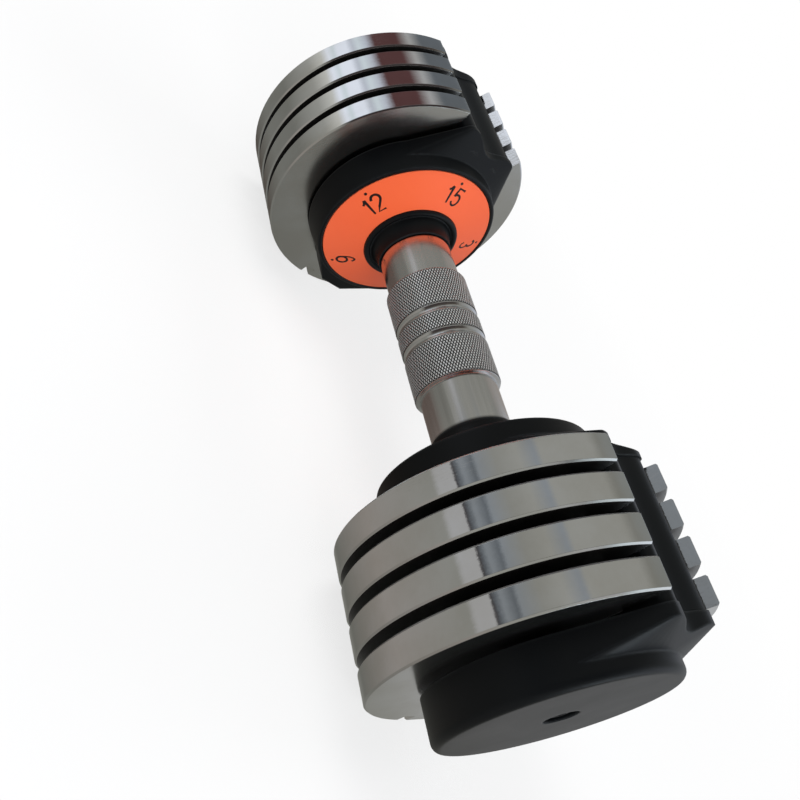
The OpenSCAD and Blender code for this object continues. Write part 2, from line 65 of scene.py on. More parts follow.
print("frame loaded with", len(nodes), "nodes")

sides = {"left": -1, "right": 1}
mm = 0.001

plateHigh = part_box("plate_right_4")[1]
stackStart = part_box("plate_right_1")[0].x
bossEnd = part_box("collar_right")[0].x
axisZ = next(joint["pos_m"][2] for joint in frame["record"]["behaviour"]["joints"] if joint["name"] == "grip_turn")

scene = bpy.context.scene
scene.view_settings.view_transform = "Standard"

cameraLook = {"place": (0.18504, -0.27212, 0.18676), "turn": (54.3272, -51.5130, 67.7797),
              "lens": 38.198, "sensor": 36, "shiftX": -0.01023, "shiftY": -0.13283, "clip": 0.01}

camData = bpy.data.cameras.new("cameraFront")
camData.lens = cameraLook["lens"]
camData.sensor_width = cameraLook["sensor"]
camData.shift_x = cameraLook["shiftX"]
camData.shift_y = cameraLook["shiftY"]
camData.clip_start = cameraLook["clip"]
camera = bpy.data.objects.new("cameraFront", camData)
camera.location = cameraLook["place"]
camera.rotation_euler = [math.radians(turn) for turn in cameraLook["turn"]]
scene.collection.objects.link(camera)
scene.camera = camera


def deselectAll():
    bpy.ops.object.select_all(action="DESELECT")


def addLamp(name, place, aim, size, power, colour):
    data = bpy.data.lights.new(name, "AREA")
    data.shape = "RECTANGLE"
    data.size, data.size_y = size
    data.energy = power
    data.color = colour
    lamp = bpy.data.objects.new(name, data)
    lamp.location = place
    lamp.rotation_euler = (Vector(aim) - Vector(place)).to_track_quat("-Z", "Y").to_euler()
    scene.collection.objects.link(lamp)
    return lamp


lampAim = (0, 0, 0.06)
lamps = {"softKey": {"place": (-0.5, -0.6, 1.1), "size": (0.7, 0.7), "power": 9.0, "colour": (1.0, 0.99, 0.97)},
         "sideFill": {"place": (0.9, -0.5, 0.45), "size": (0.6, 0.6), "power": 7.5, "colour": (0.96, 0.98, 1.0)},
         "backRim": {"place": (0.1, 0.9, 0.8), "size": (0.9, 0.4), "power": 4.0, "colour": (1.0, 1.0, 1.0)}}
for name, spec in lamps.items():
    lamp = addLamp(name, spec["place"], lampAim, spec["size"], spec["power"], spec["colour"])
    lamp.visible_glossy = False  # the metal mirrors the room instead


def emptyMaterial(name):
    mat = bpy.data.materials.new(name)
    mat.use_nodes = True
    tree = mat.node_tree
    tree.nodes.clear()
    return mat, tree, tree.nodes.new("ShaderNodeOutputMaterial")


def newMaterial(name):
    mat, tree, out = emptyMaterial(name)
    shader = tree.nodes.new("ShaderNodeBsdfPrincipled")
    tree.links.new(shader.outputs[0], out.inputs[0])
    return mat, tree, shader


def fillSocket(tree, socket, value):
    if hasattr(value, "is_output"):
        tree.links.new(value, socket)
    else:
        socket.default_value = value


def mathNode(tree, operation, first, second=None, clamp=False):
    node = tree.nodes.new("ShaderNodeMath")
    node.operation = operation
    node.use_clamp = clamp
    fillSocket(tree, node.inputs[0], first)
    if second is not None:
        fillSocket(tree, node.inputs[1], second)
    return node.outputs[0]


def vectorNode(tree, operation, first, second):
    node = tree.nodes.new("ShaderNodeVectorMath")
    node.operation = operation
    fillSocket(tree, node.inputs[0], first)
    fillSocket(tree, node.inputs[1], second)
    return node.outputs["Value" if operation == "DOT_PRODUCT" else "Vector"]


def splitNode(tree, vector):
    node = tree.nodes.new("ShaderNodeSeparateXYZ")
    tree.links.new(vector, node.inputs[0])
    return node.outputs


def mixColour(tree, factor, first, second):
    node = tree.nodes.new("ShaderNodeMix")
    node.data_type = "RGBA"
    for socket, value in ((node.inputs[0], factor), (node.inputs[6], first), (node.inputs[7], second)):
        fillSocket(tree, socket, value)
    return node.outputs[2]


def mixValue(tree, factor, first, second):
    node = tree.nodes.new("ShaderNodeMix")
    for socket, value in ((node.inputs[0], factor), (node.inputs[2], first), (node.inputs[3], second)):
        fillSocket(tree, socket, value)
    return node.outputs[0]


def mixNormal(tree, factor, first, second):
    node = tree.nodes.new("ShaderNodeMix")
    node.data_type = "VECTOR"
    for socket, value in ((node.inputs[0], factor), (node.inputs[4], first), (node.inputs[5], second)):
        fillSocket(tree, socket, value)
    return node.outputs[1]


def mixShader(tree, factor, first, second):
    node = tree.nodes.new("ShaderNodeMixShader")
    for socket, value in zip(node.inputs, (factor, first, second)):
        tree.links.new(value, socket)
    return node.outputs[0]


def fadeNode(tree, value, start, end):
    node = tree.nodes.new("ShaderNodeMapRange")
    node.interpolation_type = "SMOOTHSTEP"
    node.inputs["From Min"].default_value = start
    node.inputs["From Max"].default_value = end
    tree.links.new(value, node.inputs["Value"])
    return node.outputs["Result"]


def noiseNode(tree, vector, size, detail, roughness=0.5):
    node = tree.nodes.new("ShaderNodeTexNoise")
    tree.links.new(vector, node.inputs["Vector"])
    fillSocket(tree, node.inputs["Scale"], size)
    node.inputs["Detail"].default_value = detail
    node.inputs["Roughness"].default_value = roughness
    return node.outputs[0]


def bumpNode(tree, height, strength, normal):
    node = tree.nodes.new("ShaderNodeBump")
    node.inputs["Distance"].default_value = effects["bumpReach"]
    fillSocket(tree, node.inputs["Strength"], strength)
    tree.links.new(height, node.inputs["Height"])
    tree.links.new(normal, node.inputs["Normal"])
    return node.outputs[0]


# distance from the axis of the grip
def axisRadius(tree, coord):
    x, y, z = splitNode(tree, coord.outputs["Object"])
    up = mathNode(tree, "SUBTRACT", z, axisZ)
    squares = mathNode(tree, "ADD", mathNode(tree, "MULTIPLY", y, y), mathNode(tree, "MULTIPLY", up, up))
    return mathNode(tree, "SQRT", squares)


def placeGroup(tree, group, **values):
    node = tree.nodes.new("ShaderNodeGroup")
    node.node_tree = group
    for key, value in values.items():
        fillSocket(tree, node.inputs[key], value)
    return node


def startGroup(name, inputs, outputs):
    group = bpy.data.node_groups.new(name, "ShaderNodeTree")
    for title, kind, value in inputs:
        socket = group.interface.new_socket(title, in_out="INPUT", socket_type=kind)
        if value is not None:
            socket.default_value = value
    for title, kind in outputs:
        group.interface.new_socket(title, in_out="OUTPUT", socket_type=kind)
    return group, group.nodes.new("NodeGroupInput"), group.nodes.new("NodeGroupOutput")


skyLook = {"colour": (0.93, 0.95, 1.0, 1), "strength": 0.42, "seenColour": (1, 1, 1, 1), "seenStrength": 1.0}

# a soft pale sky gives the light, and a white one shows behind the object
world = bpy.data.worlds.new("studio")
scene.world = world
world.use_nodes = True
worldTree = world.node_tree
worldTree.nodes.clear()
worldOut = worldTree.nodes.new("ShaderNodeOutputWorld")
skyLight = worldTree.nodes.new("ShaderNodeBackground")
skyLight.inputs["Color"].default_value = skyLook["colour"]
skyLight.inputs["Strength"].default_value = skyLook["strength"]
skyWhite = worldTree.nodes.new("ShaderNodeBackground")
skyWhite.inputs["Color"].default_value = skyLook["seenColour"]
skyWhite.inputs["Strength"].default_value = skyLook["seenStrength"]
skyPath = worldTree.nodes.new("ShaderNodeLightPath")
skySeen = mathNode(worldTree, "MAXIMUM", skyPath.outputs["Is Camera Ray"], skyPath.outputs["Is Glossy Ray"])
worldTree.links.new(mixShader(worldTree, skySeen, skyLight.outputs[0], skyWhite.outputs[0]), worldOut.inputs[0])
print("camera and light placed")

# what the shared effects have in common in every material
effects = {"bumpReach": 0.1 * mm, "bevelSamples": 6, "rubSheenGain": 7.0, "rubSheenDetail": 4.0, "rubSheenRough": 0.6,
           "lineDetail": 4.0, "lineRough": 0.62, "speckDetail": 2.0, "markSize": 28.0, "markDetail": 5.0,
           "markRough": 0.62}

# rounds sharp edges in the light, and marks them for a lighter colour: partly wear where hands and knocks have rubbed
# them, partly a painted highlight along the edges
edgeGroup, gIn, gOut = startGroup("softEdge",
    [("Vector", "NodeSocketVector", None), ("Radius", "NodeSocketFloat", 0.5 * mm),
     ("Patches", "NodeSocketFloat", 90.0)],
    [("RubAndSheen", "NodeSocketFloat"), ("Normal", "NodeSocketVector")])
bevel = edgeGroup.nodes.new("ShaderNodeBevel")
bevel.samples = effects["bevelSamples"]
edgeGroup.links.new(gIn.outputs["Radius"], bevel.inputs["Radius"])
sharp = edgeGroup.nodes.new("ShaderNodeNewGeometry")
agree = vectorNode(edgeGroup, "DOT_PRODUCT", bevel.outputs[0], sharp.outputs["Normal"])
# how far the edge turns, times patches: where the rubbed wear and the painted highlight go
turned = mathNode(edgeGroup, "MULTIPLY", mathNode(edgeGroup, "SUBTRACT", 1.0, agree), effects["rubSheenGain"], clamp=True)
patches = noiseNode(edgeGroup, gIn.outputs["Vector"], gIn.outputs["Patches"], effects["rubSheenDetail"], effects["rubSheenRough"])
edgeGroup.links.new(mathNode(edgeGroup, "MULTIPLY", turned, patches), gOut.inputs["RubAndSheen"])
edgeGroup.links.new(bevel.outputs[0], gOut.inputs["Normal"])

# ground or drawn lines that run along X: fine noise, long one way and short the other
brushGroup, gIn, gOut = startGroup("brushLines",
    [("Vector", "NodeSocketVector", None), ("Normal", "NodeSocketVector", None), ("Along", "NodeSocketFloat", 20.0),
     ("Across", "NodeSocketFloat", 2500.0), ("Rough", "NodeSocketFloat", 0.15), ("Spread", "NodeSocketFloat", 0.1),
     ("Depth", "NodeSocketFloat", 0.1)],
    [("Lines", "NodeSocketFloat"), ("Roughness", "NodeSocketFloat"), ("Normal", "NodeSocketVector")])
stretch = brushGroup.nodes.new("ShaderNodeCombineXYZ")
for socket, source in zip(stretch.inputs, ("Along", "Across", "Across")):
    brushGroup.links.new(gIn.outputs[source], socket)
scaled = vectorNode(brushGroup, "MULTIPLY", gIn.outputs["Vector"], stretch.outputs[0])
lines = noiseNode(brushGroup, scaled, 1.0, effects["lineDetail"], effects["lineRough"])
spread = mathNode(brushGroup, "MULTIPLY", mathNode(brushGroup, "SUBTRACT", lines, 0.5), gIn.outputs["Spread"])
brushGroup.links.new(lines, gOut.inputs["Lines"])
brushGroup.links.new(mathNode(brushGroup, "ADD", gIn.outputs["Rough"], spread), gOut.inputs["Roughness"])
brushGroup.links.new(bumpNode(brushGroup, lines, gIn.outputs["Depth"], gIn.outputs["Normal"]), gOut.inputs["Normal"])

# grain of a spark-eroded mould, with soft handling marks in the gloss
grainGroup, gIn, gOut = startGroup("mouldGrain",
    [("Vector", "NodeSocketVector", None), ("Normal", "NodeSocketVector", None), ("Size", "NodeSocketFloat", 3000.0),
     ("Depth", "NodeSocketFloat", 0.15), ("Rough", "NodeSocketFloat", 0.4), ("Marks", "NodeSocketFloat", 0.1)],
    [("Speck", "NodeSocketFloat"), ("Marks", "NodeSocketFloat"), ("Roughness", "NodeSocketFloat"),
     ("Normal", "NodeSocketVector")])
speck = noiseNode(grainGroup, gIn.outputs["Vector"], gIn.outputs["Size"], effects["speckDetail"])
marks = noiseNode(grainGroup, gIn.outputs["Vector"], effects["markSize"], effects["markDetail"], effects["markRough"])
varied = mathNode(grainGroup, "MULTIPLY", mathNode(grainGroup, "SUBTRACT", marks, 0.5), gIn.outputs["Marks"])
grainGroup.links.new(speck, gOut.inputs["Speck"])
grainGroup.links.new(marks, gOut.inputs["Marks"])
grainGroup.links.new(mathNode(grainGroup, "ADD", gIn.outputs["Rough"], varied), gOut.inputs["Roughness"])
grainGroup.links.new(bumpNode(grainGroup, speck, gIn.outputs["Depth"], gIn.outputs["Normal"]), gOut.inputs["Normal"])


def makePlastic(name, look):
    mat, tree, shader = newMaterial(name)
    coord = tree.nodes.new("ShaderNodeTexCoord")
    edge = placeGroup(tree, edgeGroup, Vector=coord.outputs["Object"], Radius=look["edge"])
    grain = placeGroup(tree, grainGroup, Vector=coord.outputs["Object"], Normal=edge.outputs["Normal"],
                       Size=look["size"], Depth=look["depth"], Rough=look["rough"], Marks=look["marks"])
    colour = mixColour(tree, grain.outputs["Marks"], look["colour"], look["worn"])
    # lighter along the edges: partly rubbed wear, partly a painted highlight
    colour = mixColour(tree, edge.outputs["RubAndSheen"], colour, look["rubAndSheen"])
    tree.links.new(colour, shader.inputs["Base Color"])
    tree.links.new(grain.outputs["Roughness"], shader.inputs["Roughness"])
    tree.links.new(grain.outputs["Normal"], shader.inputs["Normal"])
    shader.inputs["IOR"].default_value = look["ior"]
    shader.inputs["Specular IOR Level"].default_value = look["gloss"]
    return mat


def makeMetal(name, look):
    mat, tree, shader = newMaterial(name)
    coord = tree.nodes.new("ShaderNodeTexCoord")
    edge = placeGroup(tree, edgeGroup, Vector=coord.outputs["Object"], Radius=look["edge"])
    brush = placeGroup(tree, brushGroup, Vector=coord.outputs["Object"], Normal=edge.outputs["Normal"],
                       Along=look["along"], Across=look["across"], Rough=look["rough"], Spread=look["spread"],
                       Depth=look["depth"])
    colour = mixColour(tree, brush.outputs["Lines"], look["colour"], look["light"])
    if "bossShade" in look:  # painted shade at the tube's ends, in the corners against the bosses of the collars
        along = mathNode(tree, "ABSOLUTE", splitNode(tree, coord.outputs["Object"])[0])
        nearBoss = fadeNode(tree, along, bossEnd - look["bossShadeWide"], bossEnd)
        colour = mixColour(tree, nearBoss, colour, look["bossShade"])
    tree.links.new(colour, shader.inputs["Base Color"])
    tree.links.new(brush.outputs["Roughness"], shader.inputs["Roughness"])
    tree.links.new(brush.outputs["Normal"], shader.inputs["Normal"])
    shader.inputs["Metallic"].default_value = 1.0
    return mat


# each rubbed colour is the edge colour: partly wear, partly a painted highlight
blackPlastic = makePlastic("blackPlastic", {"colour": (0.0018, 0.0024, 0.0030, 1), "worn": (0.0036, 0.0043, 0.0050, 1),
    "rubAndSheen": (0.036, 0.041, 0.044, 1), "size": 3200.0, "depth": 0.14, "rough": 0.37, "marks": 0.12, "ior": 1.46,
    "gloss": 0.2, "edge": 1.3 * mm})
orangePlastic = makePlastic("orangePlastic", {"colour": (0.96, 0.125, 0.035, 1), "worn": (1.0, 0.165, 0.055, 1),
    "rubAndSheen": (1.0, 0.25, 0.11, 1), "size": 2600.0, "depth": 0.08, "rough": 0.46, "marks": 0.08, "ior": 1.46,
    "gloss": 0.45, "edge": 0.3 * mm})
inkBlack = makePlastic("inkBlack", {"colour": (0.010, 0.008, 0.008, 1), "worn": (0.018, 0.015, 0.014, 1),
    "rubAndSheen": (0.03, 0.02, 0.02, 1), "size": 4000.0, "depth": 0.05, "rough": 0.5, "marks": 0.05, "ior": 1.45,
    "gloss": 0.3, "edge": 0.1 * mm})
steelSatin = makeMetal("steelSatin", {"colour": (0.50, 0.51, 0.53, 1), "light": (0.66, 0.67, 0.69, 1),
    "along": 900.0, "across": 900.0, "rough": 0.30, "spread": 0.14, "depth": 0.08, "edge": 0.3 * mm})
steelDark = makeMetal("steelDark", {"colour": (0.10, 0.105, 0.115, 1), "light": (0.20, 0.205, 0.22, 1),
    "along": 500.0, "across": 500.0, "rough": 0.40, "spread": 0.20, "depth": 0.10, "edge": 0.3 * mm})
# near-black colour for the end screws in the holes of the end faces
nearBlackSteel = makePlastic("nearBlackSteel", {"colour": (0.006, 0.006, 0.007, 1), "worn": (0.012, 0.012, 0.013, 1),
    "rubAndSheen": (0.02, 0.02, 0.02, 1), "size": 2500.0, "depth": 0.08, "rough": 0.5, "marks": 0.1, "ior": 1.46,
    "gloss": 0.15, "edge": 0.2 * mm})
bronzeBush = makeMetal("bronzeBush", {"colour": (0.52, 0.34, 0.13, 1), "light": (0.66, 0.46, 0.20, 1),
    "along": 700.0, "across": 700.0, "rough": 0.32, "spread": 0.16, "depth": 0.08, "edge": 0.2 * mm})
# the grip tube is darker close to the collar bosses: painted shade
gripChrome = makeMetal("gripChrome", {"colour": (0.56, 0.555, 0.55, 1), "light": (0.70, 0.70, 0.70, 1),
    "along": 9.0, "across": 420.0, "rough": 0.17, "spread": 0.16, "depth": 0.45, "edge": 0.4 * mm,
    "bossShade": (0.05, 0.05, 0.05, 1), "bossShadeWide": 1.6 * mm})

# chrome of the plates: blurred faces, a painted shade on the faces between two plates, rims with fine lines across
# them, milled slot walls, broken edges that are duller on the side that faces the left end, and a lighter colour along
# the edges, partly rubbed and partly a painted highlight
plateLook = {"colour": (0.64, 0.645, 0.65, 1), "tint": (0.58, 0.575, 0.56, 1), "rubAndSheen": (0.78, 0.78, 0.78, 1),
             "between": (0.30, 0.30, 0.30, 1), "faceRough": 0.20, "betweenRough": 0.40, "rimRough": 0.025,
             "wallRough": 0.06, "breakRough": (0.5, 0.12), "faceLean": 0.8, "breakLean": 0.25,
             "along": 1100.0, "across": 260.0, "spread": 0.06, "rimDepth": 0.22, "wallDepth": 0.55,
             "rimDeep": 1.0 * mm, "edge": 0.12 * mm, "smudgeSize": 900.0, "smudgeDepth": 0.02, "marks": 0.12,
             "cloudy": (0.36, 0.64)}

plateChrome, tree, shader = newMaterial("plateChrome")
coord = tree.nodes.new("ShaderNodeTexCoord")
facing = splitNode(tree, coord.outputs["Normal"])[0]
lean = mathNode(tree, "ABSOLUTE", facing)
onFace = mathNode(tree, "GREATER_THAN", lean, plateLook["faceLean"])
onBreak = mathNode(tree, "GREATER_THAN", lean, plateLook["breakLean"])
breakRough = mixValue(tree, mathNode(tree, "GREATER_THAN", facing, 0.0), *plateLook["breakRough"])
along = mathNode(tree, "ABSOLUTE", splitNode(tree, coord.outputs["Object"])[0])
inStack = mathNode(tree, "MULTIPLY", mathNode(tree, "GREATER_THAN", along, stackStart + mm),
                   mathNode(tree, "LESS_THAN", along, plateHigh.x - mm))
# the faces between two plates, which get the painted shade
between = mathNode(tree, "MULTIPLY", inStack, onFace)
onRim = mathNode(tree, "GREATER_THAN", axisRadius(tree, coord), plateHigh.y - plateLook["rimDeep"])
edge = placeGroup(tree, edgeGroup, Vector=coord.outputs["Object"], Radius=plateLook["edge"])
brush = placeGroup(tree, brushGroup, Vector=coord.outputs["Object"], Normal=edge.outputs["Normal"],
                   Along=plateLook["along"], Across=plateLook["across"], Spread=plateLook["spread"],
                   Rough=mixValue(tree, onBreak, mixValue(tree, onRim, plateLook["wallRough"], plateLook["rimRough"]),
                                  breakRough),
                   Depth=mixValue(tree, onRim, plateLook["wallDepth"], plateLook["rimDepth"]))
smudge = placeGroup(tree, grainGroup, Vector=coord.outputs["Object"], Normal=edge.outputs["Normal"],
                    Size=plateLook["smudgeSize"], Depth=plateLook["smudgeDepth"], Marks=plateLook["marks"],
                    Rough=mixValue(tree, inStack, plateLook["faceRough"], plateLook["betweenRough"]))
tree.links.new(mixValue(tree, onFace, brush.outputs["Roughness"], smudge.outputs["Roughness"]),
               shader.inputs["Roughness"])
tree.links.new(mixNormal(tree, onFace, brush.outputs["Normal"], smudge.outputs["Normal"]), shader.inputs["Normal"])
cloudy = fadeNode(tree, smudge.outputs["Marks"], *plateLook["cloudy"])
colour = mixColour(tree, cloudy, plateLook["colour"], plateLook["tint"])
# lighter along the edges: partly rubbed wear, partly a painted highlight
colour = mixColour(tree, edge.outputs["RubAndSheen"], colour, plateLook["rubAndSheen"])
# painted shade: the faces between two plates are darker
tree.links.new(mixColour(tree, between, colour, plateLook["between"]), shader.inputs["Base Color"])
shader.inputs["Metallic"].default_value = 1.0

# valley holds the painted shade of the grooves and peak the painted glint of the points
knurl = {"radius": 17.46 * mm, "rise": 0.24 * mm, "inset": 0.23 * mm, "around": 92,
         "bands": ((-25.5, -7.9, 8), (-4.1, 4.1, 4), (7.9, 25.5, 8)),
         "valley": (0.05, 0.05, 0.05, 1), "peak": (0.95, 0.97, 0.98, 1), "grooveShade": (0.65, 0.99), "rough": 0.26,
         "valleyRough": 0.65, "metal": 0.78, "wearSize": 1500.0, "wearDepth": 0.05, "marks": 0.2, "close": 0.001 * mm}

# chrome of the knurling: a painted glint on the points, which are lighter than chrome and partly diffuse, and a painted
# shade in the grooves, which are dull and dark
knurlChrome, tree, shader = newMaterial("knurlChrome")
coord = tree.nodes.new("ShaderNodeTexCoord")
# painted shade: darker towards the bottom of the grooves
height = fadeNode(tree, axisRadius(tree, coord), *[knurl["radius"] + knurl["rise"] * part for part in knurl["grooveShade"]])
worn = placeGroup(tree, grainGroup, Vector=coord.outputs["Object"], Size=knurl["wearSize"],
                  Depth=knurl["wearDepth"], Rough=knurl["rough"], Marks=knurl["marks"])
normal = tree.nodes.new("ShaderNodeNewGeometry")
tree.links.new(normal.outputs["Normal"], worn.inputs["Normal"])
tree.links.new(mixColour(tree, height, knurl["valley"], knurl["peak"]), shader.inputs["Base Color"])
tree.links.new(mixValue(tree, height, knurl["valleyRough"], worn.outputs["Roughness"]), shader.inputs["Roughness"])
tree.links.new(worn.outputs["Normal"], shader.inputs["Normal"])
shader.inputs["Metallic"].default_value = knurl["metal"]
print("materials made")

slotLooks = {"chrome_plate": plateChrome, "chrome_grip": gripChrome, "steel": steelSatin, "dark_steel": steelDark,
             "bronze": bronzeBush, "black_plastic": blackPlastic, "orange_plastic": orangePlastic}
for part in frame["record"]["subparts"]:
    mesh = nodes[part["node"]].data
    mesh.materials.clear()
    mesh.materials.append(nearBlackSteel if part["node"] == "end_screws" else slotLooks[part["material_slot"]])


def finishPiece(piece, body, mat):
    piece.data.materials.clear()
    piece.data.materials.append(mat)
    bpy.context.view_layer.update()
    piece.data.transform(piece.matrix_world)
    piece.matrix_world.identity()
    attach(piece, body)
    return piece


# a ring of squares is poked, its grid dissolved into diamonds, and each diamond inset and raised
def makeKnurl(name, start, end, rows):
    halfLength = (end - start) / 2 * mm
    deselectAll()
    bpy.ops.mesh.primitive_cylinder_add(vertices=knurl["around"], radius=knurl["radius"], depth=halfLength * 2,
        end_fill_type="NOTHING", location=((start + end) / 2 * mm, 0, axisZ), rotation=(0, math.pi / 2, 0))
    band = bpy.context.object
    band.name = name
    bpy.ops.object.mode_set(mode="EDIT")
    bpy.ops.mesh.select_mode(type="EDGE")
    bpy.ops.mesh.select_all(action="DESELECT")
    bpy.ops.object.mode_set(mode="OBJECT")
    for edge in band.data.edges:
        a, b = (band.data.vertices[i].co for i in edge.vertices)
        edge.select = abs(a.z - b.z) > knurl["close"]
    bpy.ops.object.mode_set(mode="EDIT")
    bpy.ops.mesh.subdivide(number_cuts=rows - 1, quadcorner="STRAIGHT_CUT")
    bpy.ops.mesh.select_all(action="DESELECT")
    bpy.ops.object.mode_set(mode="OBJECT")
    corners = len(band.data.vertices)  # the points that poke adds come after these
    bpy.ops.object.mode_set(mode="EDIT")
    bpy.ops.mesh.select_all(action="SELECT")
    bpy.ops.mesh.poke(offset=0.0)
    bpy.ops.mesh.select_all(action="DESELECT")
    bpy.ops.object.mode_set(mode="OBJECT")
    for edge in band.data.edges:
        a, b = (band.data.vertices[i].co for i in edge.vertices)
        onEnd = all(abs(abs(point.z) - halfLength) < knurl["close"] for point in (a, b))
        edge.select = all(i < corners for i in edge.vertices) and not onEnd
    bpy.ops.object.mode_set(mode="EDIT")
    bpy.ops.mesh.dissolve_edges(use_verts=False)
    bpy.ops.mesh.select_mode(type="FACE")
    bpy.ops.mesh.select_all(action="SELECT")
    bpy.ops.mesh.inset(thickness=knurl["inset"], depth=knurl["rise"], use_individual=True)
    bpy.ops.object.mode_set(mode="OBJECT")
    return finishPiece(band, "turning_grip", knurlChrome)


for count, (start, end, rows) in enumerate(knurl["bands"]):
    band = makeKnurl("knurlBand.%d" % (count + 1), start, end, rows)
    print(band.name, len(band.data.polygons), "faces")


# the cone of a dial ring rises by coneRise between its radii; height, gap and stroke are those of the digits
dial = {"innerR": 21.6 * mm, "outerR": 38.9 * mm, "coneRise": 6 * mm, "numberR": 30.4 * mm, "dotR": 36.4 * mm,
        "dotSize": 0.7 * mm, "dotEdge": 0.03 * mm, "dotSides": 20, "height": 8.3 * mm, "gap": 0.14,
        "stroke": 1.15 * mm, "thick": 0.05 * mm, "phase": {"left": 12, "right": 0}, "turn": 72,
        "numbers": ("15", "12", "9", "6", "3")}


def arcPoints(middle, reach, start, end, steps=14):
    turns = [math.radians(start + (end - start) * i / steps) for i in range(steps + 1)]
    return [(middle[0] + reach[0] * math.cos(t), middle[1] + reach[1] * math.sin(t)) for t in turns]


# each digit is drawn one unit tall as a few strokes, with its width
six = [arcPoints((0.27, 0.29), (0.24, 0.29), 0, 360, 28),
       arcPoints((0.30, 0.62), (0.22, 0.38), 25, 95, 8) + [(0.17, 0.93), (0.08, 0.78), (0.04, 0.58), (0.03, 0.32)]]
digits = {"1": (0.34, [[(0.04, 0.76), (0.15, 0.83), (0.24, 1.0)], [(0.24, 1.0), (0.24, 0.0)]]),
          "2": (0.54, [arcPoints((0.27, 0.73), (0.235, 0.27), 175, -32) + [(0.24, 0.28), (0.04, 0.0), (0.52, 0.0)]]),
          "3": (0.54, [arcPoints((0.26, 0.75), (0.21, 0.25), 160, -90),
                       arcPoints((0.26, 0.26), (0.25, 0.26), 90, -162)]),
          "5": (0.54, [[(0.47, 1.0), (0.13, 1.0), (0.07, 0.50)],
                       [(0.07, 0.50)] + arcPoints((0.27, 0.32), (0.24, 0.32), 128, -158)]),
          "6": (0.54, six),
          "9": (0.54, [[(0.54 - x, 1.0 - y) for x, y in stroke] for stroke in six])}


def drawNumber(text):
    curve = bpy.data.curves.new("number" + text, "CURVE")
    curve.dimensions = "3D"
    curve.bevel_depth = dial["stroke"] / 2
    curve.bevel_resolution = 1
    curve.use_fill_caps = True
    wide = sum(digits[digit][0] for digit in text) + dial["gap"] * (len(text) - 1)
    left = -wide / 2
    for digit in text:
        for stroke in digits[digit][1]:
            spline = curve.splines.new("POLY")
            spline.points.add(len(stroke) - 1)
            for point, (x, y) in zip(spline.points, stroke):
                point.co = ((left + x) * dial["height"], (y - 0.5) * dial["height"], 0, 1)
        left += digits[digit][0] + dial["gap"]
    drawn = bpy.data.objects.new("number" + text, curve)
    scene.collection.objects.link(drawn)
    deselectAll()
    drawn.select_set(True)
    bpy.context.view_layer.objects.active = drawn
    bpy.ops.object.convert(target="MESH")
    drawn = bpy.context.object
    for vertex in drawn.data.vertices:  # pressed flat, to the thickness of ink
        vertex.co.z *= dial["thick"] / dial["stroke"] * 2
    return drawn


def drawDot():
    deselectAll()
    bpy.ops.mesh.primitive_cylinder_add(vertices=dial["dotSides"], radius=dial["dotSize"], depth=dial["thick"] * 2,
                                        location=(0, 0, 0))
    dot = bpy.context.object
    soft = dot.modifiers.new("soft", "BEVEL")
    soft.width = dial["dotEdge"]
    soft.segments = 2
    bpy.ops.object.modifier_apply(modifier="soft")
    return dot


# lays a flat drawing on the cone of a dial ring: u to the right, v outwards, w off the surface
def layOnDial(piece, side, angle, centreR):
    low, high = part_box("dial_ring_" + side)
    sign = sides[side]
    frontX = low.x if sign > 0 else high.x  # the ring's edge nearest to the middle
    steep = dial["coneRise"] / (dial["outerR"] - dial["innerR"])
    lean = math.hypot(1, steep)
    for vertex in piece.data.vertices:
        u, v, w = vertex.co
        r = centreR + v / lean
        turn = math.radians(angle) + u / centreR * sign
        x = abs(frontX) + (r - dial["innerR"]) * steep - w
        vertex.co = (sign * x, -r * math.sin(turn), axisZ + r * math.cos(turn))
    piece.data.update()


def copyPiece(piece, name):
    double = piece.copy()
    double.data = piece.data.copy()
    double.name = name
    scene.collection.objects.link(double)
    return double


dotMaster = drawDot()
for count, text in enumerate(dial["numbers"]):
    numberMaster = drawNumber(text)
    for side in sides:
        angle = dial["phase"][side] + dial["turn"] * count
        for master, title, centreR in ((numberMaster, "number", dial["numberR"]), (dotMaster, "dot", dial["dotR"])):
            mark = copyPiece(master, "%s%s.%s" % (title, text, side))
            layOnDial(mark, side, angle, centreR)
            finishPiece(mark, "turning_grip", inkBlack)
    bpy.data.objects.remove(numberMaster)
bpy.data.objects.remove(dotMaster)
print("dials printed")


springLook = {"merge": 0.001 * mm, "smooth": 35}

# the springs over the lock pins, which in the real dumbbell shorten as the pins press in; here each is a smoothed copy,
# fixed to the parent body of its lock joint
for joint in frame["record"]["behaviour"]["joints"]:
    for bent in joint.get("deforming_nodes", []):
        springName = bent["node"].replace("lock_spring_", "lockCoil.")
        spring = bpy.data.objects.new(springName, nodes[bent["node"]].data.copy())
        scene.collection.objects.link(spring)
        deselectAll()
        spring.select_set(True)
        bpy.context.view_layer.objects.active = spring
        bpy.ops.object.mode_set(mode="EDIT")
        bpy.ops.mesh.select_all(action="SELECT")
        bpy.ops.mesh.remove_doubles(threshold=springLook["merge"])
        bpy.ops.object.mode_set(mode="OBJECT")
        bpy.ops.object.shade_smooth_by_angle(angle=math.radians(springLook["smooth"]))
        finishPiece(spring, joint["parent"], steelSatin)
        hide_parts(bent["node"])
        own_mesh(spring)
print("lock springs made")


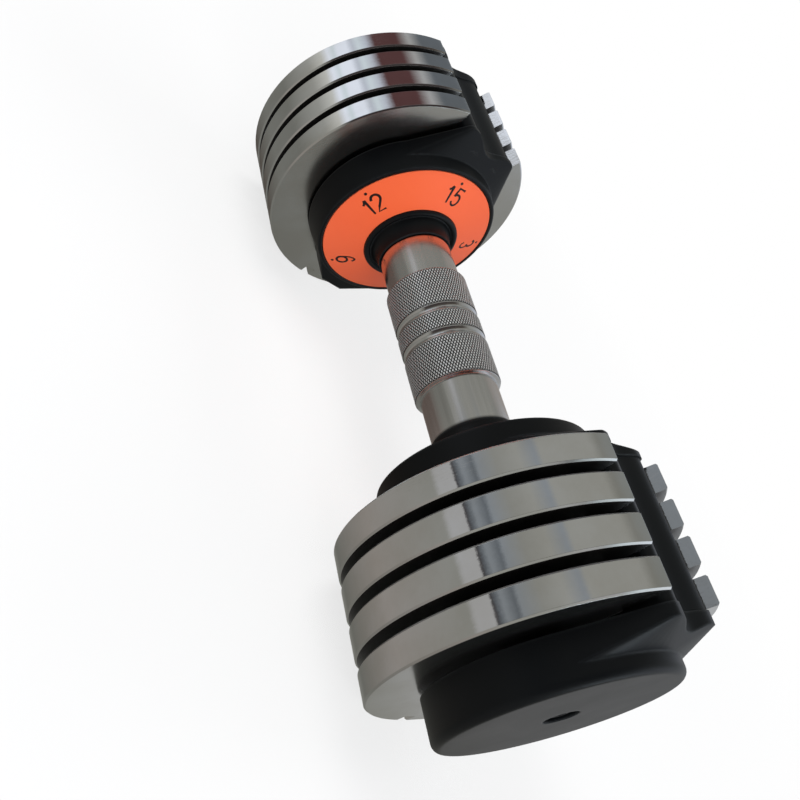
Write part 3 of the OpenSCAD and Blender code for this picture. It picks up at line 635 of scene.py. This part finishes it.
# share is how much of the floor shows over the white behind it; it fades out between the two radii
floorLook = {"size": 1.8, "drop": 0.0005, "colour": (0.87, 0.87, 0.87, 1), "share": 0.265, "fadeFrom": 0.22,
             "fadeTo": 0.75}
deselectAll()
bpy.ops.mesh.primitive_plane_add(size=floorLook["size"], location=(0, 0, -floorLook["drop"]))
floor = bpy.context.object
floor.name = "floorSheet"
floor.visible_glossy = False  # the lower half of the dome stands for it in the metal
floorMat, floorTree, floorOut = emptyMaterial("floorWhite")
floorDiffuse = floorTree.nodes.new("ShaderNodeBsdfDiffuse")
floorDiffuse.inputs["Color"].default_value = floorLook["colour"]
floorClear = floorTree.nodes.new("ShaderNodeBsdfTransparent")
floorCoord = floorTree.nodes.new("ShaderNodeTexCoord")
floorReach = floorTree.nodes.new("ShaderNodeVectorMath")
floorReach.operation = "LENGTH"
floorTree.links.new(floorCoord.outputs["Object"], floorReach.inputs[0])
floorFade = fadeNode(floorTree, floorReach.outputs["Value"], floorLook["fadeTo"], floorLook["fadeFrom"])
floorShare = mathNode(floorTree, "MULTIPLY", floorFade, floorLook["share"])
floorSide = floorTree.nodes.new("ShaderNodeNewGeometry")
floorAbove = mathNode(floorTree, "SUBTRACT", 1.0, floorSide.outputs["Backfacing"])  # clear from below
floorTree.links.new(mixShader(floorTree, mathNode(floorTree, "MULTIPLY", floorShare, floorAbove),
                              floorClear.outputs[0], floorDiffuse.outputs[0]), floorOut.inputs[0])
floor.data.materials.append(floorMat)


# the room that the metal mirrors, as strips of tone that run round the X axis. A stop is a place, with 0 at -Y,
# 0.25 straight down, 0.5 at +Y and 0.75 straight up, and a tone, in parts of 255 as the chrome shows it. Only
# the lamp is past white. Each strip closes on its first tone. The order says where each one takes over from the
# one before, from the right end of the room to the left
room = {"radius": 2.5, "segments": 32, "rings": 16, "chrome": 0.645,
        "tones": {"soot": (55, 50, 50), "maroon": (80, 55, 55), "shadow": (70, 65, 60), "umber": (85, 75, 70),
                  "dusk": (95, 95, 90), "lead": (90, 95, 100), "clay": (105, 105, 100), "stone": (120, 120, 115),
                  "slate": (120, 125, 125), "fog": (130, 130, 125), "smoke": (125, 130, 135),
                  "linen": (135, 130, 125), "wall": (140, 140, 135), "mist": (155, 155, 155),
                  "steel": (165, 170, 175), "haze": (175, 180, 190), "plaster": (180, 180, 175),
                  "sky": (195, 205, 210), "pale": (215, 220, 230), "bright": (235, 245, 250),
                  "lamp": (375, 395, 410)},
        "order": (("right", -0.84, -0.76), ("end", -0.45, -0.38), ("near", -0.04, 0.08), ("tube", 0.38, 0.43),
                  ("far", 0.66, 0.70), ("beyond", 0.79, 0.83)),
        "window": [(0.0, "wall"), (0.10, "linen"), (0.38, "dusk"), (0.47, "fog"), (0.51, "sky"), (0.54, "lamp"),
                   (0.57, "lamp"), (0.60, "bright"), (0.64, "steel"), (0.70, "mist"), (0.80, "wall")],
        "right": [(0.0, "wall"), (0.10, "linen"), (0.38, "dusk"), (0.46, "fog"), (0.55, "haze"), (0.60, "pale"),
                  (0.66, "sky"), (0.71, "slate"), (0.74, "soot"), (0.97, "soot")],
        "end": [(0.0, "stone"), (0.38, "clay"), (0.40, "stone"), (0.42, "mist"), (0.55, "steel"), (0.70, "fog"),
                (0.74, "shadow"), (0.97, "shadow")],
        "near": [(0.0, "mist"), (0.01, "mist"), (0.02, "fog"), (0.18, "linen"), (0.33, "dusk"), (0.42, "stone"),
                 (0.50, "mist"), (0.55, "haze"), (0.65, "slate"), (0.70, "stone"), (0.72, "wall"), (0.82, "wall"),
                 (0.83, "smoke"), (0.86, "wall"), (0.90, "fog"), (0.935, "smoke"), (0.94, "lead"),
                 (0.96, "smoke"), (0.97, "lead"), (0.978, "soot"), (0.98, "mist")],
        "tube": [(0.0, "fog"), (0.04, "clay"), (0.11, "clay"), (0.18, "umber"), (0.34, "umber"), (0.48, "linen"),
                 (0.64, "linen"), (0.68, "stone"), (0.93, "fog"), (0.95, "mist"), (0.97, "mist"), (0.98, "fog")],
        "far": [(0.0, "plaster"), (0.04, "wall"), (0.13, "clay"), (0.22, "clay"), (0.34, "shadow"),
                (0.42, "dusk"), (0.62, "slate"), (0.66, "steel"), (0.68, "lead"), (0.74, "lead"), (0.77, "mist"),
                (0.80, "maroon"), (0.86, "maroon"), (0.88, "haze"), (0.90, "sky"), (0.915, "haze"),
                (0.93, "pale"), (0.955, "pale"), (0.965, "sky"), (0.98, "pale")],
        "beyond": [(0.0, "plaster"), (0.05, "wall"), (0.25, "clay"), (0.31, "sky"), (0.35, "bright"),
                   (0.46, "bright"), (0.50, "mist"), (0.62, "slate"), (0.74, "lead"), (0.80, "maroon"),
                   (0.88, "mist"), (0.93, "pale")]}
deselectAll()
bpy.ops.mesh.primitive_uv_sphere_add(segments=room["segments"], ring_count=room["rings"], radius=room["radius"],
                                     location=(0, 0, 0))
reflectDome = bpy.context.object
reflectDome.name = "reflectDome"
reflectDome.visible_camera = False
reflectDome.visible_diffuse = False
reflectDome.visible_shadow = False
reflectDome.visible_transmission = False
domeMat, domeTree, domeOut = emptyMaterial("domeRoom")
domeGlow = domeTree.nodes.new("ShaderNodeEmission")
domeCoord = domeTree.nodes.new("ShaderNodeTexCoord")
domeX, domeY, domeZ = splitNode(domeTree, domeCoord.outputs["Object"])
turnRound = mathNode(domeTree, "ARCTAN2", domeZ, domeY)
aroundShare = mathNode(domeTree, "ADD", mathNode(domeTree, "MULTIPLY", turnRound, 0.5 / math.pi), 0.5)
leftShare = mathNode(domeTree, "MULTIPLY", domeX, -1 / room["radius"])


# the light that the chrome shows as a tone of this many parts in 255
def toneGlow(parts):
    level = parts / 255
    return (level / 12.92 if level <= 0.04045 else ((level + 0.055) / 1.055) ** 2.4) / room["chrome"]


def roomStrip(title):
    ramp = domeTree.nodes.new("ShaderNodeValToRGB")
    domeTree.links.new(aroundShare, ramp.inputs[0])
    stops = ramp.color_ramp.elements
    stops.remove(stops[1])
    for count, (place, tone) in enumerate(room[title] + [(1.0, room[title][0][1])]):
        stop = stops[0] if count == 0 else stops.new(place)
        stop.position = place
        stop.color = (*[toneGlow(parts) for parts in room["tones"][tone]], 1)
    return ramp.outputs[0]


glow = roomStrip("window")
for title, start, end in room["order"]:
    glow = mixColour(domeTree, fadeNode(domeTree, leftShare, start, end), glow, roomStrip(title))
domeTree.links.new(glow, domeGlow.inputs["Color"])
domeTree.links.new(domeGlow.outputs[0], domeOut.inputs[0])
reflectDome.data.materials.append(domeMat)
print("floor and room made")
